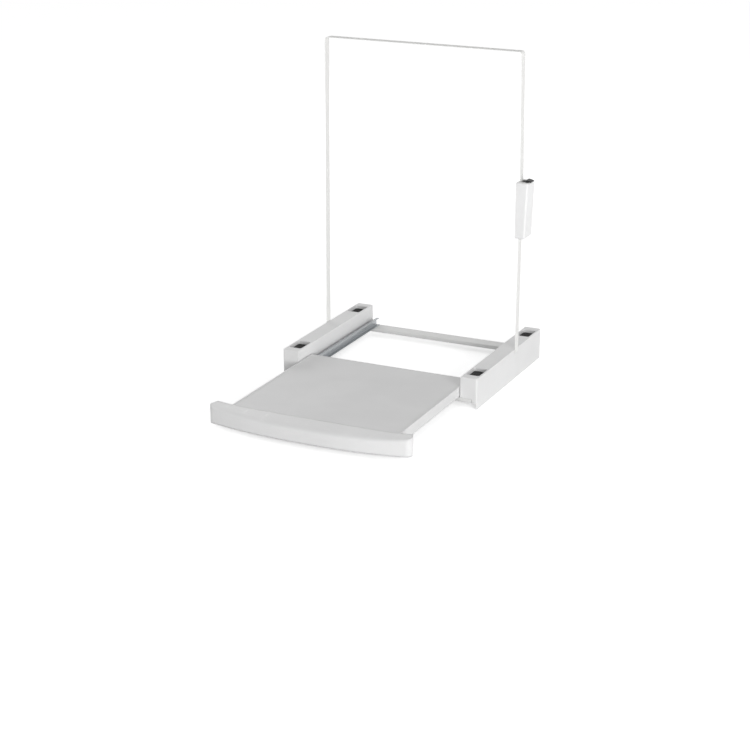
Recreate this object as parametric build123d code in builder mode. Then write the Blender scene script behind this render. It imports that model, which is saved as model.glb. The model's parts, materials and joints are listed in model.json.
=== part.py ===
"""Stacking kit for two laundry machines: frame, pull-out shelf, strap and tensioner.

Millimetres. X runs to the right, Y to the rear, Z up. The origin is on the plane where the kit
rests on the lower machine, under the middle of the front crossbar. The shelf is modelled pulled
out, and the strap lies as it does around the upper machine.
"""
from build123d import *
from math import cos, radians, sin, tan
import os

os.makedirs("parts", exist_ok=True)

# Machines that the kit joins
machine_width = 596.0
upper_height = 850.0
upper_edge_radius = 8.0

# Clearances
overrun = 5.0
seat_gap = 0.2
loose_gap = 0.3
running_gap = 0.05

# Frame
frame_depth = 500.0
frame_height = 75.0
skirt_gap = 0.5
skirt_wall = 2.5
skirt_drop = 15.0
skirt_lead_in = 1.2
member_width = 50.0
member_wall = 2.5
member_corner = 5.0
member_round = 1.5
member_set_back = 3.0
rib_wall = 2.5
rib_pitch = 62.0
ribs_ahead = 4
ribs_behind = 3
seat_band_width = 22.0

# Crossbar tubes
tube_depth = 44.0
tube_height = 11.5
tube_wall = 1.5
tube_corner = 2.0
tube_insertion = 35.0
tube_screw_inset = 16.0
tube_screw_offset = 8.0
tube_screw_depth = 14.0
tube_boss_radius = 5.0

# Rubber strips and pads
strip_thick = 2.5
strip_width = 18.0
strip_groove = 0.6
strip_corner = 2.0
strip_end = 16.0
strip_gap = 4.0
pocket_width = 40.0
pocket_length = 64.0
pocket_depth = 12.0
pocket_corner = 6.0
pocket_from_end = 60.0
pad_thick = 2.5
pad_margin = 1.5
pad_groove = 0.8
pad_groove_pitch = 8.0
pad_grooves = 7

# Screws
screw_radius = 2.0
screw_head_radius = 3.5
screw_head_height = 2.0
screw_recess_radius = 1.0
screw_recess_depth = 1.2
countersink = 90.0

# Shelf
deck_below_top = 32.0
deck_height = 28.0
deck_plate = 3.0
deck_wall = 2.5
deck_rear_gap = 28.0
deck_overlap = 82.0
deck_side_gap = 2.5
deck_corner = 3.0
deck_rim_width = 5.0
deck_rim_height = 1.5
deck_rib_wall = 2.0
deck_rib_depth = 13.0
deck_rib_rows = 6
deck_rib_columns = 6
closed_gap = 1.0

# Fascia
fascia_half = 301.0
fascia_bottom = 1.0
fascia_end_top = 53.0
fascia_mid_rise = 2.0
fascia_end_depth = 36.0
fascia_end_taper = 14.0
fascia_bow = 34.0
fascia_corner = 16.0
fascia_wall = 3.0
fascia_end_crown = (8.0, 10.0)
fascia_mid_crown = (14.0, 48.0)
fascia_rib_wall = 2.5
fascia_rib_bottom = 24.0
fascia_ribs = 9
fascia_boss_radius = 5.0
fascia_rib_pitch = 62.0
fascia_boss_length = 22.0
fascia_screw_z = 29.0
fascia_screw_length = 14.0
bow_power = 2.4
rise_power = 6.0
station_shares = (-1.0, -0.9, -0.75, -0.5, -0.25, 0.0, 0.25, 0.5, 0.75, 0.9, 1.0)

# Runners
rail_wall = 1.4
rail_bend = 1.0
rail_height = 21.8
rail_inset = 6.6
rail_end_gap = 4.0
rail_floor_reach = 13.4
rail_roof_reach = 11.4
rail_roof_start = 30.0
rail_stop_height = 2.5
rail_stop_thick = 2.0
rail_side_gap = 1.0
rail_pass_gap = 0.8
shelf_rail_reach = 19.4
shelf_rail_height = 21.0
shelf_screw_pitch = 105.0
shelf_screw_count = 4
shelf_screw_z = 27.5
shelf_screw_length = 8.0
rail_screw_length = 6.0
roller_width = 8.0
roller_edge = 0.8
roller_gap = 0.3
roller_lift = 0.2
roller_from_end = 14.0
pin_radius = 3.0
pin_head_radius = 5.0
pin_head_thick = 1.2
pin_shoulder_radius = 4.5

# Strap
strap_width = 25.0
strap_thick = 1.4
strap_off_centre = 45.0
anchor_radius = 3.0
anchor_length = 40.0
anchor_from_outside = 17.0
anchor_below_top = 15.0
anchor_web_gap = 4.0
loop_leg = 11.0
loop_angle = 32.0
slot_side_gap = 1.0
slot_face_gap = 0.8
strap_slot_radius = 0.8
strap_bend_above = 6.0
strap_bend_radius = 400.0

# Tensioner
tensioner_above_frame = 412.0
cover_length = 160.0
cover_width = 58.0
cover_depth_top = 35.0
cover_depth_bottom = 29.0
cover_wall = 2.0
cover_round = 5.0
cover_window_width = 29.0
cover_window_start = 3.0
cover_slot_depth = 6.0
back_plate_thick = 3.0
cover_boss_radius = 4.0
cover_boss_inset = 9.0
cover_screw_length = 14.0
buckle_wall = 1.5
buckle_top = 48.0
buckle_bottom = 54.0
buckle_side_gap = 0.75
cheek_low = 14.5
cheek_high = 25.0
cheek_slope_low = -12.0
cheek_slope_high = 12.0
cheek_round = 3.0
rivet_radius = 2.0
rivet_head_radius = 3.2
rivet_drop = 30.0
axle_out = 17.0
axle_up = 28.0
axle_radius = 2.5
axle_head_radius = 4.0
axle_head_thick = 1.5
cam_hub_radius = 8.0
cam_nose_radius = 11.9
cam_nose_fall = 0.35
cam_nose_angle = 223.0
cam_teeth = 5
cam_tooth_step = 9.0
cam_tooth_depth = 1.0
cam_side_gap = 0.4
lever_lean = 8.0
lever_thick = 6.6
lever_width = 22.0
tab_radius = 55.3
tab_thick = 3.5
tab_from = 68.0
tab_to = 84.0
spring_wire = 1.0
spring_coils = 2.5
spring_pitch = 1.05
spring_coil_radius = 3.9
spring_leg = 10.0
spring_room = 5.0
spring_lug_radius = 1.5
spring_lug_share = 0.8
strap_bar_out = 9.5
strap_bar_down = 46.0
strap_bar_radius = 3.0
bar_leg = 14.0
bar_leg_angle = 20.0
tail_down = 38.0
tail_turn = 8.0
tail_length = 36.0

# Places that follow from the sizes
half_outer = machine_width / 2 + skirt_gap + skirt_wall
member_inner = half_outer - member_width
member_mid = half_outer - member_width / 2
y_front = -tube_depth / 2
y_rear = y_front + frame_depth
member_length = frame_depth - 2 * member_set_back
frame_mid_y = (y_front + y_rear) / 2
tube_top = strip_thick + tube_height
tube_end = member_inner + tube_insertion
rear_tube_y = y_rear - tube_depth / 2
tube_screw_x = tube_end - tube_screw_inset
pocket_floor = frame_height - pocket_depth
pocket_ys = (y_front + pocket_from_end, y_rear - pocket_from_end)
pocket_x = half_outer - skirt_wall - member_wall - pocket_width / 2
strap_y = frame_mid_y + strap_off_centre
anchor_x = half_outer - anchor_from_outside
anchor_z = frame_height - anchor_below_top
anchor_web_y = strap_width / 2 + anchor_web_gap

deck_top = frame_height - deck_below_top
deck_under = deck_top - deck_plate
deck_bottom = deck_top - deck_height
deck_half = member_inner - deck_side_gap
deck_length = frame_depth - deck_rear_gap
shelf_travel = deck_length - deck_overlap
deck_front = y_front - closed_gap - shelf_travel
deck_rear = deck_front + deck_length
deck_mid_y = (deck_front + deck_rear) / 2
fascia_mid_top = deck_top + fascia_mid_rise

rail_web_x = deck_half - deck_wall - rail_inset
rail_top = tube_top + rail_height
rail_front = y_front + rail_end_gap
rail_rear = y_rear - rail_end_gap
shelf_rail_x = rail_web_x - rail_floor_reach - rail_side_gap
shelf_rail_under = rail_top + rail_pass_gap
shelf_rail_top = shelf_rail_under + rail_wall
roller_radius = rail_height / 2 - rail_wall - roller_gap
roller_x = (shelf_rail_x + rail_web_x - rail_wall) / 2
front_roller_y = rail_front + roller_from_end
front_roller_z = shelf_rail_under - roller_lift - roller_radius
rear_roller_y = deck_rear - roller_from_end
rear_roller_z = tube_top + rail_height / 2
rail_screw_ys = (tube_screw_offset, rear_tube_y + tube_screw_offset)

strap_face = machine_width / 2 + loose_gap
strap_outside = half_outer + loose_gap
strap_crown = frame_height + upper_height + loose_gap
tensioner_z = frame_height + tensioner_above_frame
buckle_out = back_plate_thick + buckle_wall + loose_gap
buckle_inside = strap_width / 2 + buckle_side_gap
axle_x = strap_face + axle_out
axle_z = tensioner_z + axle_up
bar_x = strap_face + strap_bar_out
bar_z = tensioner_z - strap_bar_down


def finish(part, name):
    """Labels a finished piece and writes it."""
    part.label = name
    export_step(part, f"parts/{name}.step")


def finish_pair(part, name):
    """Writes a right-hand piece and its mirror image on the left."""
    finish(mirror(part, about=Plane.YZ), f"left_{name}")
    finish(part, f"right_{name}")


# Side member: an open-bottomed moulded beam with ribs, foot pockets and an outer skirt
rib_ys = [strap_y - anchor_web_y - step * rib_pitch for step in range(ribs_ahead)]
rib_ys += [strap_y + anchor_web_y + step * rib_pitch for step in range(ribs_behind)]
socket_ys = (
    y_front + tube_depth + seat_gap + rib_wall / 2,
    y_rear - tube_depth - seat_gap - rib_wall / 2,
)
rib_span = member_width - member_wall
with BuildPart() as side_member:
    with BuildSketch(Plane.XY.offset(-skirt_drop)):
        with Locations((member_mid, frame_mid_y)):
            Rectangle(member_width, member_length)
    extrude(amount=skirt_drop + frame_height)
    fillet(side_member.edges().filter_by(Axis.Z).group_by(Axis.X)[-1], member_corner)
    fillet(side_member.faces().sort_by(Axis.Z)[-1].edges(), member_round)
    # The lower machine stands inside the skirt
    with BuildSketch(Plane.XY.offset(-skirt_drop)):
        with Locations((half_outer - skirt_wall - member_width / 2, frame_mid_y)):
            Rectangle(member_width, frame_depth)
    extrude(amount=skirt_drop + strip_thick, mode=Mode.SUBTRACT)
    skirt_edges = side_member.edges().group_by(Axis.Z)[0].filter_by(Axis.Y).sort_by(Axis.X)
    chamfer(skirt_edges[0], skirt_lead_in)
    # Hollow underside
    with BuildSketch(Plane.XY.offset(strip_thick)):
        with Locations((member_mid, frame_mid_y)):
            Rectangle(member_width - 2 * member_wall, member_length - 2 * member_wall)
    extrude(amount=frame_height - member_wall - strip_thick, mode=Mode.SUBTRACT)
    # Cross ribs, socket walls and the band that the grip strip is glued to
    with BuildSketch(Plane.XY.offset(strip_thick)):
        for y in (*rib_ys, *socket_ys):
            with Locations((member_mid, y)):
                Rectangle(rib_span, rib_wall)
    extrude(amount=frame_height - member_wall / 2 - strip_thick)
    with BuildSketch(Plane.XY.offset(strip_thick)):
        with Locations((member_mid, frame_mid_y)):
            Rectangle(seat_band_width, member_length - member_wall)
    extrude(amount=member_wall)
    # Screw bosses over the crossbar ends
    with BuildSketch(Plane.XY.offset(tube_top + seat_gap)):
        with Locations((tube_screw_x, 0), (tube_screw_x, rear_tube_y)):
            Circle(tube_boss_radius)
    extrude(until=Until.NEXT)
    # Foot pockets
    with BuildSketch(Plane.XY.offset(pocket_floor - member_wall)):
        with Locations(*[(pocket_x, y) for y in pocket_ys]):
            RectangleRounded(
                pocket_width + 2 * member_wall, pocket_length + 2 * member_wall, pocket_corner + member_wall
            )
    extrude(amount=pocket_depth)
    with BuildSketch(Plane.XY.offset(pocket_floor)):
        with Locations(*[(pocket_x, y) for y in pocket_ys]):
            RectangleRounded(pocket_width, pocket_length, pocket_corner)
    extrude(amount=pocket_depth, mode=Mode.SUBTRACT)
    # Openings that take the crossbars
    with BuildSketch(Plane.XY.offset(-skirt_drop)):
        for y in (0, rear_tube_y):
            with Locations((tube_end + seat_gap, y)):
                Rectangle(member_width, tube_depth + 2 * seat_gap, align=(Align.MAX, Align.CENTER))
    extrude(amount=skirt_drop + tube_top + seat_gap, mode=Mode.SUBTRACT)
    for y in (0, rear_tube_y):
        with Locations((tube_screw_x, y, tube_top + seat_gap)):
            Cylinder(screw_radius, 2 * tube_screw_depth, mode=Mode.SUBTRACT)
    # Slot for the strap and bores for its anchor pin
    slot_z = anchor_z + anchor_radius + loose_gap + strap_thick / 2
    with Locations((half_outer, strap_y, slot_z)):
        Box(
            4 * skirt_wall, strap_width + 2 * slot_side_gap, strap_thick + 2 * slot_face_gap,
            mode=Mode.SUBTRACT,
        )
    with Locations(Location((anchor_x, strap_y, anchor_z), (90, 0, 0))):
        Cylinder(anchor_radius + running_gap, anchor_length + overrun, mode=Mode.SUBTRACT)
finish_pair(side_member.part, "side_member")


# Crossbars: rectangular steel tubes
tube_screws = [(side * tube_screw_x, 0, strip_thick) for side in (-1, 1)]
tube_rail_screws = [(side * roller_x, tube_screw_offset, tube_top) for side in (-1, 1)]
with BuildPart() as crossbar:
    with BuildSketch(Plane.YZ.offset(-tube_end)):
        with Locations((0, strip_thick + tube_height / 2)):
            RectangleRounded(tube_depth, tube_height, tube_corner)
            RectangleRounded(
                tube_depth - 2 * tube_wall, tube_height - 2 * tube_wall, tube_corner - tube_wall,
                mode=Mode.SUBTRACT,
            )
    extrude(amount=2 * tube_end)
    with Locations(*tube_screws):
        Cylinder(screw_radius + running_gap, 3 * tube_height, mode=Mode.SUBTRACT)
    with Locations(*tube_rail_screws):
        Cylinder(screw_radius + running_gap, tube_height, mode=Mode.SUBTRACT)
finish(crossbar.part, "front_crossbar")
finish(crossbar.part.moved(Location((0, rear_tube_y, 0))), "rear_crossbar")


def screws(places, length, axis_turn=(0, 0, 0)):
    """Pan-head screws: the head lies below each place and the shank runs up from it."""
    head = Cylinder(screw_head_radius, screw_head_height, align=(Align.CENTER, Align.CENTER, Align.MAX))
    head = fillet(head.edges().sort_by(Axis.Z)[0], screw_head_height / 3)
    shank = Cylinder(screw_radius, length, align=(Align.CENTER, Align.CENTER, Align.MIN))
    socket = Pos(0, 0, -screw_head_height) * Cylinder(
        screw_recess_radius, screw_recess_depth, align=(Align.CENTER, Align.CENTER, Align.MIN)
    )
    screw = head + shank - socket
    return Compound(children=[Location(place, axis_turn) * screw for place in places])


# Screws from below hold the side members on the crossbars
member_screw_places = [
    (side * tube_screw_x, y, strip_thick) for side in (-1, 1) for y in (0, rear_tube_y)
]
finish(screws(member_screw_places, tube_height + tube_screw_depth), "crossbar_screws")

# Rubber strips under the side members and the crossbars
side_strip_length = rear_tube_y - tube_depth - 2 * strip_gap
with BuildPart() as side_strip:
    with BuildSketch(Plane.XY):
        with Locations((member_mid, frame_mid_y)):
            RectangleRounded(strip_width, side_strip_length, strip_corner)
    extrude(amount=strip_thick)
    with BuildSketch(Plane.XY):
        with GridLocations(strip_width / 3, 1, 2, 1):
            with Locations((member_mid, frame_mid_y)):
                Rectangle(strip_width / 6, side_strip_length - strip_width)
    extrude(amount=strip_groove, mode=Mode.SUBTRACT)
finish_pair(side_strip.part, "grip_strip")

cross_strip_length = 2 * (tube_screw_x - strip_end)
with BuildPart() as cross_strip:
    with BuildSketch(Plane.XY):
        RectangleRounded(cross_strip_length, strip_width, strip_corner)
    extrude(amount=strip_thick)
    with BuildSketch(Plane.XY):
        with GridLocations(1, strip_width / 3, 1, 2):
            Rectangle(cross_strip_length - strip_width, strip_width / 6)
    extrude(amount=strip_groove, mode=Mode.SUBTRACT)
finish(cross_strip.part, "front_grip_strip")
finish(cross_strip.part.moved(Location((0, rear_tube_y, 0))), "rear_grip_strip")

# Rubber pads in the foot pockets
pad_size = (pocket_width - 2 * pad_margin, pocket_length - 2 * pad_margin)
for y, place in zip(pocket_ys, ("front", "rear")):
    with BuildPart() as foot_pad:
        with BuildSketch(Plane.XY.offset(pocket_floor)):
            with Locations((pocket_x, y)):
                RectangleRounded(*pad_size, pocket_corner - pad_margin)
        extrude(amount=pad_thick)
        with BuildSketch(Plane.XY.offset(pocket_floor + pad_thick)):
            with Locations((pocket_x, y)):
                with GridLocations(1, pad_groove_pitch, 1, pad_grooves):
                    Rectangle(pad_size[0] - 2 * pad_groove_pitch, pad_groove_pitch / 3)
        extrude(amount=-pad_groove, mode=Mode.SUBTRACT)
    finish_pair(foot_pad.part, f"{place}_foot_pad")

# Frame rails: folded steel channels, open towards the middle
with BuildPart() as frame_rail:
    with BuildSketch(Plane.XZ.offset(-rail_front)):
        with BuildLine():
            FilletPolyline(
                (rail_web_x - rail_floor_reach, tube_top), (rail_web_x, tube_top),
                (rail_web_x, rail_top), (rail_web_x - rail_roof_reach, rail_top),
                radius=rail_bend + rail_wall,
            )
            offset(amount=rail_wall, side=Side.LEFT)
        make_face()
    extrude(amount=rail_front - rail_rear)
    # The roof gives way to the roller at the front
    with BuildSketch(Plane.XZ.offset(-rail_front)):
        with Locations((rail_web_x - rail_bend - rail_wall, rail_top)):
            Rectangle(rail_roof_reach, 2 * (rail_wall + rail_bend), align=(Align.MAX, Align.CENTER))
    extrude(amount=-rail_roof_start, mode=Mode.SUBTRACT)
    # A raised stop holds the roller of the pulled-out shelf
    stop_rise = rail_stop_height - roller_gap
    stop_reach = (2 * roller_radius * stop_rise - stop_rise**2) ** 0.5
    with Locations((roller_x, rear_roller_y - stop_reach - loose_gap, tube_top + rail_wall)):
        Box(
            roller_width, rail_stop_thick, rail_stop_height,
            align=(Align.CENTER, Align.MAX, Align.MIN),
        )
    with Locations(*[(roller_x, y, tube_top) for y in rail_screw_ys]):
        Cylinder(screw_radius + running_gap, 4 * rail_wall, mode=Mode.SUBTRACT)
    with Locations(Location((rail_web_x, front_roller_y, front_roller_z), (0, 90, 0))):
        Cylinder(pin_radius, 4 * rail_wall, mode=Mode.SUBTRACT)
finish_pair(frame_rail.part, "frame_rail")
rail_screw_places = [
    (side * roller_x, y, tube_top + rail_wall) for side in (-1, 1) for y in rail_screw_ys
]
finish(screws(rail_screw_places, rail_screw_length, (180, 0, 0)), "frame_rail_screws")


def roller_pin(web_face, way):
    """Riveted pin: head outside the web, shoulder, shank and the head that keeps the roller."""
    reach = abs(roller_x - web_face) + roller_width / 2
    shoulder = abs(roller_x - web_face) - roller_width / 2 - roller_gap
    low = (Align.CENTER, Align.CENTER, Align.MIN)
    pin = Pos(0, 0, -rail_wall - pin_head_thick) * Cylinder(
        pin_shoulder_radius, pin_head_thick, align=low
    )
    pin += Pos(0, 0, -rail_wall) * Cylinder(pin_radius, rail_wall + reach + roller_gap, align=low)
    pin += Cylinder(pin_shoulder_radius, shoulder, align=low)
    pin += Pos(0, 0, reach + roller_gap) * Cylinder(pin_head_radius, pin_head_thick, align=low)
    return Rot(0, 90 * way, 0) * pin


front_pin = Pos(rail_web_x - rail_wall, front_roller_y, front_roller_z) * roller_pin(
    rail_web_x - rail_wall, -1
)
finish(Compound(children=[front_pin, mirror(front_pin, about=Plane.YZ)]), "front_roller_pins")
rear_pin = Pos(shelf_rail_x, rear_roller_y, rear_roller_z) * roller_pin(shelf_rail_x, 1)
finish(Compound(children=[rear_pin, mirror(rear_pin, about=Plane.YZ)]), "rear_roller_pins")

# Rollers
for place, y, z in (
    ("front", front_roller_y, front_roller_z), ("rear", rear_roller_y, rear_roller_z)
):
    with BuildPart() as roller:
        with Locations(Location((roller_x, y, z), (0, 90, 0))):
            Cylinder(roller_radius, roller_width)
        fillet(roller.edges(), roller_edge)
        with Locations(Location((roller_x, y, z), (0, 90, 0))):
            Cylinder(pin_radius + running_gap, 2 * roller_width, mode=Mode.SUBTRACT)
    finish_pair(roller.part, f"{place}_roller")

# Shelf rails: angles with a flange over the rollers
with BuildPart() as shelf_rail:
    with BuildSketch(Plane.XZ.offset(-deck_front - deck_wall)):
        with BuildLine():
            FilletPolyline(
                (shelf_rail_x - rail_wall, shelf_rail_top - shelf_rail_height),
                (shelf_rail_x - rail_wall, shelf_rail_top),
                (shelf_rail_x - rail_wall + shelf_rail_reach, shelf_rail_top),
                radius=rail_bend + rail_wall,
            )
            offset(amount=rail_wall, side=Side.RIGHT)
        make_face()
    extrude(amount=-(deck_length - deck_wall))
    for row in range(shelf_screw_count):
        y = deck_front + shelf_screw_pitch * (row + 0.5)
        with Locations(Location((shelf_rail_x, y, shelf_screw_z), (0, 90, 0))):
            CounterSinkHole(screw_radius + running_gap, screw_head_radius, counter_sink_angle=countersink)
    with Locations(Location((shelf_rail_x, rear_roller_y, rear_roller_z), (0, 90, 0))):
        Cylinder(pin_radius, 4 * rail_wall, mode=Mode.SUBTRACT)
finish_pair(shelf_rail.part, "shelf_rail")


def flat_screws(places, length, axis_turn):
    """Countersunk screws: the flat of the head lies on each place and the shank runs up from it."""
    cone = screw_head_radius - screw_radius
    head = Cone(
        screw_head_radius - running_gap, screw_radius - running_gap, cone,
        align=(Align.CENTER, Align.CENTER, Align.MIN),
    )
    shank = Cylinder(screw_radius - running_gap, length, align=(Align.CENTER, Align.CENTER, Align.MIN))
    socket = Cylinder(
        screw_recess_radius, screw_recess_depth, align=(Align.CENTER, Align.CENTER, Align.MIN)
    )
    screw = head + shank - socket
    return Compound(children=[Location(place, axis_turn) * screw for place in places])


shelf_screw_ys = [deck_front + shelf_screw_pitch * (row + 0.5) for row in range(shelf_screw_count)]
shelf_screws = []
for side in (-1, 1):
    places = [(side * shelf_rail_x, y, shelf_screw_z) for y in shelf_screw_ys]
    shelf_screws += flat_screws(places, shelf_screw_length, (0, -90 * side, 0)).children
finish(Compound(children=shelf_screws), "shelf_rail_screws")

# Shelf deck: an open-bottomed moulded tray with ribs, rims and ledges for its rails
rail_ledge_x = shelf_rail_x - rail_wall
fascia_screw_xs = [step * fascia_rib_pitch for step in (-3, -1, 1, 3)]
with BuildPart() as shelf_deck:
    with BuildSketch(Plane.XY.offset(deck_bottom)):
        with Locations((0, deck_mid_y)):
            Rectangle(2 * deck_half, deck_length)
    extrude(amount=deck_height)
    fillet(shelf_deck.edges().filter_by(Axis.Z).group_by(Axis.Y)[-1], deck_corner)
    with BuildSketch(Plane.XY.offset(deck_bottom)):
        with Locations((0, deck_mid_y)):
            Rectangle(2 * (deck_half - deck_wall), deck_length - 2 * deck_wall)
    extrude(amount=deck_height - deck_plate, mode=Mode.SUBTRACT)
    # Rims along both sides of the top
    with BuildSketch(Plane.XY.offset(deck_top)):
        for side in (-1, 1):
            with Locations((side * deck_half, deck_mid_y)):
                Rectangle(
                    deck_rim_width, deck_length - 2 * deck_corner,
                    align=(Align.MAX if side > 0 else Align.MIN, Align.CENTER),
                )
    extrude(amount=deck_rim_height)
    fillet(shelf_deck.faces().sort_by(Axis.Z)[-2:].edges().filter_by(Axis.Y), deck_rim_height / 2)
    # Walls and ledges that the shelf rails are screwed to
    with BuildSketch(Plane.XY.offset(deck_under)):
        for side in (-1, 1):
            with Locations((side * rail_ledge_x, deck_mid_y)):
                Rectangle(
                    shelf_rail_reach, deck_length - deck_wall,
                    align=(Align.MIN if side > 0 else Align.MAX, Align.CENTER),
                )
    extrude(amount=shelf_rail_top - deck_under)
    with BuildSketch(Plane.XY.offset(deck_under)):
        for side in (-1, 1):
            with Locations((side * rail_ledge_x, deck_mid_y)):
                Rectangle(
                    deck_plate, deck_length - deck_wall,
                    align=(Align.MAX if side > 0 else Align.MIN, Align.CENTER),
                )
    extrude(amount=deck_bottom + deck_rib_wall - deck_under)
    # Ribs under the plate
    rib_room = 2 * (rail_ledge_x - deck_plate / 2)
    with BuildSketch(Plane.XY.offset(deck_under)):
        with Locations((0, deck_mid_y)):
            with GridLocations(fascia_rib_pitch, 1, deck_rib_columns, 1):
                Rectangle(deck_rib_wall, deck_length - deck_wall)
            with GridLocations(1, deck_length / (deck_rib_rows + 1), 1, deck_rib_rows):
                Rectangle(rib_room, deck_rib_wall)
    extrude(amount=-deck_rib_depth)
    for side in (-1, 1):
        for y in shelf_screw_ys:
            with Locations(Location((side * rail_ledge_x, y, shelf_screw_z), (0, -90 * side, 0))):
                Cylinder(
                    2 * screw_radius, shelf_screw_length,
                    align=(Align.CENTER, Align.CENTER, Align.MIN),
                )
                Cylinder(screw_radius + running_gap, 2 * shelf_screw_length, mode=Mode.SUBTRACT)
        # Room for the riveted heads of the roller pins
        with Locations(Location((side * rail_ledge_x, rear_roller_y, rear_roller_z), (0, 90, 0))):
            Cylinder(pin_shoulder_radius + loose_gap, 4 * deck_plate, mode=Mode.SUBTRACT)
    # The rear wall is open where the rails pass
    with BuildSketch(Plane.XY.offset(shelf_rail_top)):
        for side in (-1, 1):
            with Locations((side * rail_ledge_x, deck_rear)):
                Rectangle(
                    deck_half - deck_wall - rail_ledge_x, 4 * deck_wall,
                    align=(Align.MIN if side > 0 else Align.MAX, Align.CENTER),
                )
    extrude(amount=-deck_height, mode=Mode.SUBTRACT)
    # Holes for the fascia's screws
    with Locations(*[Location((x, deck_front, fascia_screw_z), (90, 0, 0)) for x in fascia_screw_xs]):
        Cylinder(screw_radius + running_gap, 4 * deck_wall, mode=Mode.SUBTRACT)
finish(shelf_deck.part, "shelf_deck")


def front_line(x):
    """Front of the fascia at a distance from the middle."""
    return deck_front - fascia_end_depth - fascia_bow * (1 - abs(x / fascia_half) ** bow_power)


def fascia_sections(inset, past):
    """Sections of the fascia across its length, shrunk by the inset and carried past the open sides."""
    sections = []
    for share in station_shares:
        x = share * (fascia_half - inset)
        spread = abs(x) / fascia_half
        front, back, bottom = front_line(x) + inset, deck_front + past, fascia_bottom - past
        top = fascia_mid_top + (fascia_end_top - fascia_mid_top) * spread**rise_power - inset
        crown_height, crown_reach = [
            middle + (end - middle) * spread**bow_power
            for middle, end in zip(fascia_mid_crown, fascia_end_crown)
        ]
        with BuildSketch(Plane.YZ.offset(x)) as section:
            with BuildLine():
                Polyline(
                    (front, top - crown_height), (front, bottom), (back, bottom), (back, top),
                    (front + crown_reach, top),
                )
                Bezier((front + crown_reach, top), (front, top), (front, top - crown_height))
            make_face()
        sections.append(section.sketch.face())
    return sections


def corner_cuts(inset, past):
    """Waste outside the rounded and tapered ends of the fascia, seen from above."""
    with BuildSketch(Plane.XY.offset(fascia_bottom - 2 * past)) as waste:
        for side in (-1, 1):
            end, radius = fascia_half - inset, fascia_corner - inset
            start = end - 2 * radius
            with BuildLine():
                FilletPolyline(
                    (side * start, front_line(start) + inset), (side * end, front_line(end) + inset),
                    (side * (end - fascia_end_taper), deck_front), radius=radius,
                )
                Polyline(
                    (side * (end - fascia_end_taper), deck_front), (side * (end + overrun), deck_front),
                    (side * (end + overrun), front_line(0)), (side * start, front_line(0)),
                    (side * start, front_line(start) + inset),
                )
            make_face()
    return waste.sketch


# Fascia: lofted from end to end, then hollowed from behind and below
with BuildPart() as fascia_hollow:
    loft(fascia_sections(fascia_wall, overrun))
    extrude(corner_cuts(fascia_wall, overrun), amount=2 * fascia_end_top, mode=Mode.SUBTRACT)
    # What stays of the ribs and screw bosses
    with Locations((0, deck_front, fascia_rib_bottom)):
        with GridLocations(fascia_rib_pitch, 1, fascia_ribs, 1):
            Box(
                fascia_rib_wall, 3 * (fascia_end_depth + fascia_bow), fascia_end_top,
                align=(Align.CENTER, Align.CENTER, Align.MIN), mode=Mode.SUBTRACT,
            )
    with Locations(*[Location((x, deck_front, fascia_screw_z), (90, 0, 0)) for x in fascia_screw_xs]):
        Cylinder(fascia_boss_radius, 2 * fascia_boss_length, mode=Mode.SUBTRACT)
with BuildPart() as shelf_fascia:
    loft(fascia_sections(0, 0))
    extrude(corner_cuts(0, 0), amount=2 * fascia_end_top, mode=Mode.SUBTRACT)
    add(fascia_hollow.part, mode=Mode.SUBTRACT)
    with BuildSketch(Plane.XZ.offset(-deck_front)):
        Rectangle(4 * fascia_half, 4 * fascia_end_top)
    extrude(amount=-2 * overrun, mode=Mode.SUBTRACT)
    with Locations(*[Location((x, deck_front, fascia_screw_z), (90, 0, 0)) for x in fascia_screw_xs]):
        Cylinder(screw_radius, 2 * fascia_screw_length, mode=Mode.SUBTRACT)
finish(shelf_fascia.part, "shelf_fascia")
fascia_screw_places = [(x, deck_front + deck_wall, fascia_screw_z) for x in fascia_screw_xs]
finish(screws(fascia_screw_places, fascia_screw_length, (90, 0, 0)), "fascia_screws")


# Strap: two lengths of flat webbing, sewn round the pins in the side members
wrap_radius = anchor_radius + loose_gap + strap_thick
sewn_slope = tan(radians(loop_angle))
sewn_drop = wrap_radius / cos(radians(loop_angle))


def anchor_points(side):
    """Machine-side corners from the sewn end to the slot in the side member."""
    return [
        (side * (anchor_x + loop_leg), anchor_z - sewn_drop + loop_leg * sewn_slope),
        (side * (anchor_x - wrap_radius), anchor_z - sewn_drop - wrap_radius * sewn_slope),
        (side * (anchor_x - wrap_radius), anchor_z + wrap_radius),
        (side * strap_outside, anchor_z + wrap_radius),
    ]


anchor_radii = [wrap_radius - running_gap, wrap_radius - running_gap, strap_slot_radius]
strap_in_buckle = strap_face + buckle_out
strap_bend = tensioner_z + cover_length / 2 + strap_bend_above
tail_bottom = tensioner_z - tail_down
with BuildPart() as long_strap:
    with BuildSketch(Plane.XZ.offset(-(strap_y - strap_width / 2))):
        with BuildLine():
            FilletPolyline(
                *anchor_points(-1),
                (-strap_face, strap_crown), (strap_face, strap_crown),
                (strap_in_buckle, strap_bend), (strap_in_buckle, tail_bottom),
                (strap_in_buckle + 2 * tail_turn, tail_bottom),
                (strap_in_buckle + 2 * tail_turn, tail_bottom + tail_length),
                radius=anchor_radii + [
                    upper_edge_radius, upper_edge_radius, strap_bend_radius,
                    tail_turn - running_gap, tail_turn - running_gap,
                ],
            )
            offset(amount=strap_thick, side=Side.LEFT)
        make_face()
    extrude(amount=-strap_width)
finish(long_strap.part, "long_strap")

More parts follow.
